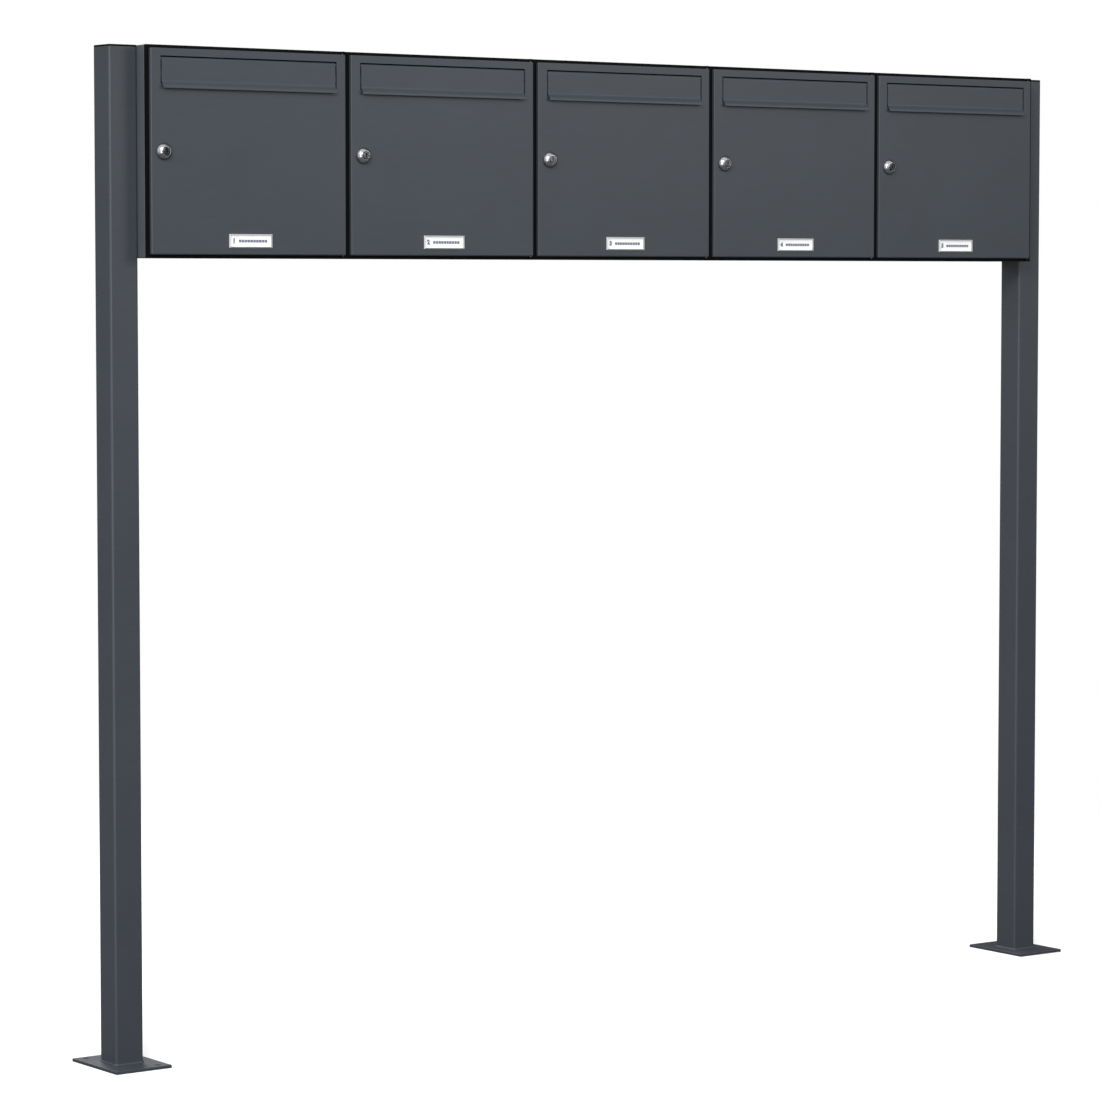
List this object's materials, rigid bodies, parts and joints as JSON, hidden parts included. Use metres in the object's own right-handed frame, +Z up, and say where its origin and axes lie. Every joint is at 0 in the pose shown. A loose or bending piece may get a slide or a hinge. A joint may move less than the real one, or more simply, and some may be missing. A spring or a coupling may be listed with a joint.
{
  "type": "cluster mailbox unit",
  "caption": "Free-standing row of letterboxes between square steel posts on foot plates, each with a hinged door, lifting letter flap, cam lock and name plate.",
  "frame": {"origin": "on the ground, midway between the two posts and on their centre line", "axes": "+X to the right along the row seen from the doors, +Y from the doors to the backs, +Z up"},
  "size_m": [2, 0.14, 1.6],
  "materials": {
    "frame_paint": "fine-textured powder coat, matt, anthracite grey",
    "door_paint": "fine-textured powder coat, matt, anthracite grey",
    "black_plastic": "moulded, matt",
    "chrome_lock": "bright nickel-chrome plate",
    "zinc_steel": "zinc plated",
    "clear_plastic": "clear moulded plastic, glossy",
    "card": "uncoated white card"
  },
  "bodies": {
    "root": {"post_left": "frame_paint", "post_right": "frame_paint", "foot_plate_left": "frame_paint", "foot_plate_right": "frame_paint", "post_caps": "black_plastic", "casing_1": "frame_paint", "casing_2": "frame_paint", "casing_3": "frame_paint", "casing_4": "frame_paint", "casing_5": "frame_paint", "front_frame_1": "black_plastic", "front_frame_2": "black_plastic", "front_frame_3": "black_plastic", "front_frame_4": "black_plastic", "front_frame_5": "black_plastic", "hinge_pins": "zinc_steel", "post_bolts": "zinc_steel", "weld_nuts": "zinc_steel", "joining_screws": "zinc_steel", "joining_nuts": "zinc_steel"},
    "door_1": {"door_1": "door_paint", "flap_rod_1": "zinc_steel", "lock_body_1": "chrome_lock", "name_holder_1": "clear_plastic", "name_card_1": "card"},
    "flap_1": {"flap_1": "door_paint"},
    "lock_1": {"lock_plug_1": "chrome_lock", "lock_cam_1": "zinc_steel"},
    "door_2": {"door_2": "door_paint", "flap_rod_2": "zinc_steel", "lock_body_2": "chrome_lock", "name_holder_2": "clear_plastic", "name_card_2": "card"},
    "flap_2": {"flap_2": "door_paint"},
    "lock_2": {"lock_plug_2": "chrome_lock", "lock_cam_2": "zinc_steel"},
    "door_3": {"door_3": "door_paint", "flap_rod_3": "zinc_steel", "lock_body_3": "chrome_lock", "name_holder_3": "clear_plastic", "name_card_3": "card"},
    "flap_3": {"flap_3": "door_paint"},
    "lock_3": {"lock_plug_3": "chrome_lock", "lock_cam_3": "zinc_steel"},
    "door_4": {"door_4": "door_paint", "flap_rod_4": "zinc_steel", "lock_body_4": "chrome_lock", "name_holder_4": "clear_plastic", "name_card_4": "card"},
    "flap_4": {"flap_4": "door_paint"},
    "lock_4": {"lock_plug_4": "chrome_lock", "lock_cam_4": "zinc_steel"},
    "door_5": {"door_5": "door_paint", "flap_rod_5": "zinc_steel", "lock_body_5": "chrome_lock", "name_holder_5": "clear_plastic", "name_card_5": "card"},
    "flap_5": {"flap_5": "door_paint"},
    "lock_5": {"lock_plug_5": "chrome_lock", "lock_cam_5": "zinc_steel"}
  },
  "joints": [
    {"name": "door_swing_1", "type": "hinge", "parent": "root", "child": "door_1", "pos_m": [-0.564, -0.054, 1.435], "axis": [0, 0, 1], "range_deg": [0, 100]},
    {"name": "flap_lift_1", "type": "hinge", "parent": "door_1", "child": "flap_1", "pos_m": [-0.74, -0.05475, 1.57815], "axis": [-1, 0, 0], "range_deg": [0, 80]},
    {"name": "lock_turn_1", "type": "hinge", "parent": "door_1", "child": "lock_1", "pos_m": [-0.897, -0.058, 1.435], "axis": [0, 1, 0], "range_deg": [0, 90]},
    {"name": "door_swing_2", "type": "hinge", "parent": "root", "child": "door_2", "pos_m": [-0.194, -0.054, 1.435], "axis": [0, 0, 1], "range_deg": [0, 100]},
    {"name": "flap_lift_2", "type": "hinge", "parent": "door_2", "child": "flap_2", "pos_m": [-0.37, -0.05475, 1.57815], "axis": [-1, 0, 0], "range_deg": [0, 80]},
    {"name": "lock_turn_2", "type": "hinge", "parent": "door_2", "child": "lock_2", "pos_m": [-0.527, -0.058, 1.435], "axis": [0, 1, 0], "range_deg": [0, 90]},
    {"name": "door_swing_3", "type": "hinge", "parent": "root", "child": "door_3", "pos_m": [0.176, -0.054, 1.435], "axis": [0, 0, 1], "range_deg": [0, 100]},
    {"name": "flap_lift_3", "type": "hinge", "parent": "door_3", "child": "flap_3", "pos_m": [0, -0.05475, 1.57815], "axis": [-1, 0, 0], "range_deg": [0, 80]},
    {"name": "lock_turn_3", "type": "hinge", "parent": "door_3", "child": "lock_3", "pos_m": [-0.157, -0.058, 1.435], "axis": [0, 1, 0], "range_deg": [0, 90]},
    {"name": "door_swing_4", "type": "hinge", "parent": "root", "child": "door_4", "pos_m": [0.546, -0.054, 1.435], "axis": [0, 0, 1], "range_deg": [0, 100]},
    {"name": "flap_lift_4", "type": "hinge", "parent": "door_4", "child": "flap_4", "pos_m": [0.37, -0.05475, 1.57815], "axis": [-1, 0, 0], "range_deg": [0, 80]},
    {"name": "lock_turn_4", "type": "hinge", "parent": "door_4", "child": "lock_4", "pos_m": [0.213, -0.058, 1.435], "axis": [0, 1, 0], "range_deg": [0, 90]},
    {"name": "door_swing_5", "type": "hinge", "parent": "root", "child": "door_5", "pos_m": [0.916, -0.054, 1.435], "axis": [0, 0, 1], "range_deg": [0, 100]},
    {"name": "flap_lift_5", "type": "hinge", "parent": "door_5", "child": "flap_5", "pos_m": [0.74, -0.05475, 1.57815], "axis": [-1, 0, 0], "range_deg": [0, 80]},
    {"name": "lock_turn_5", "type": "hinge", "parent": "door_5", "child": "lock_5", "pos_m": [0.583, -0.058, 1.435], "axis": [0, 1, 0], "range_deg": [0, 90]}
  ]
}
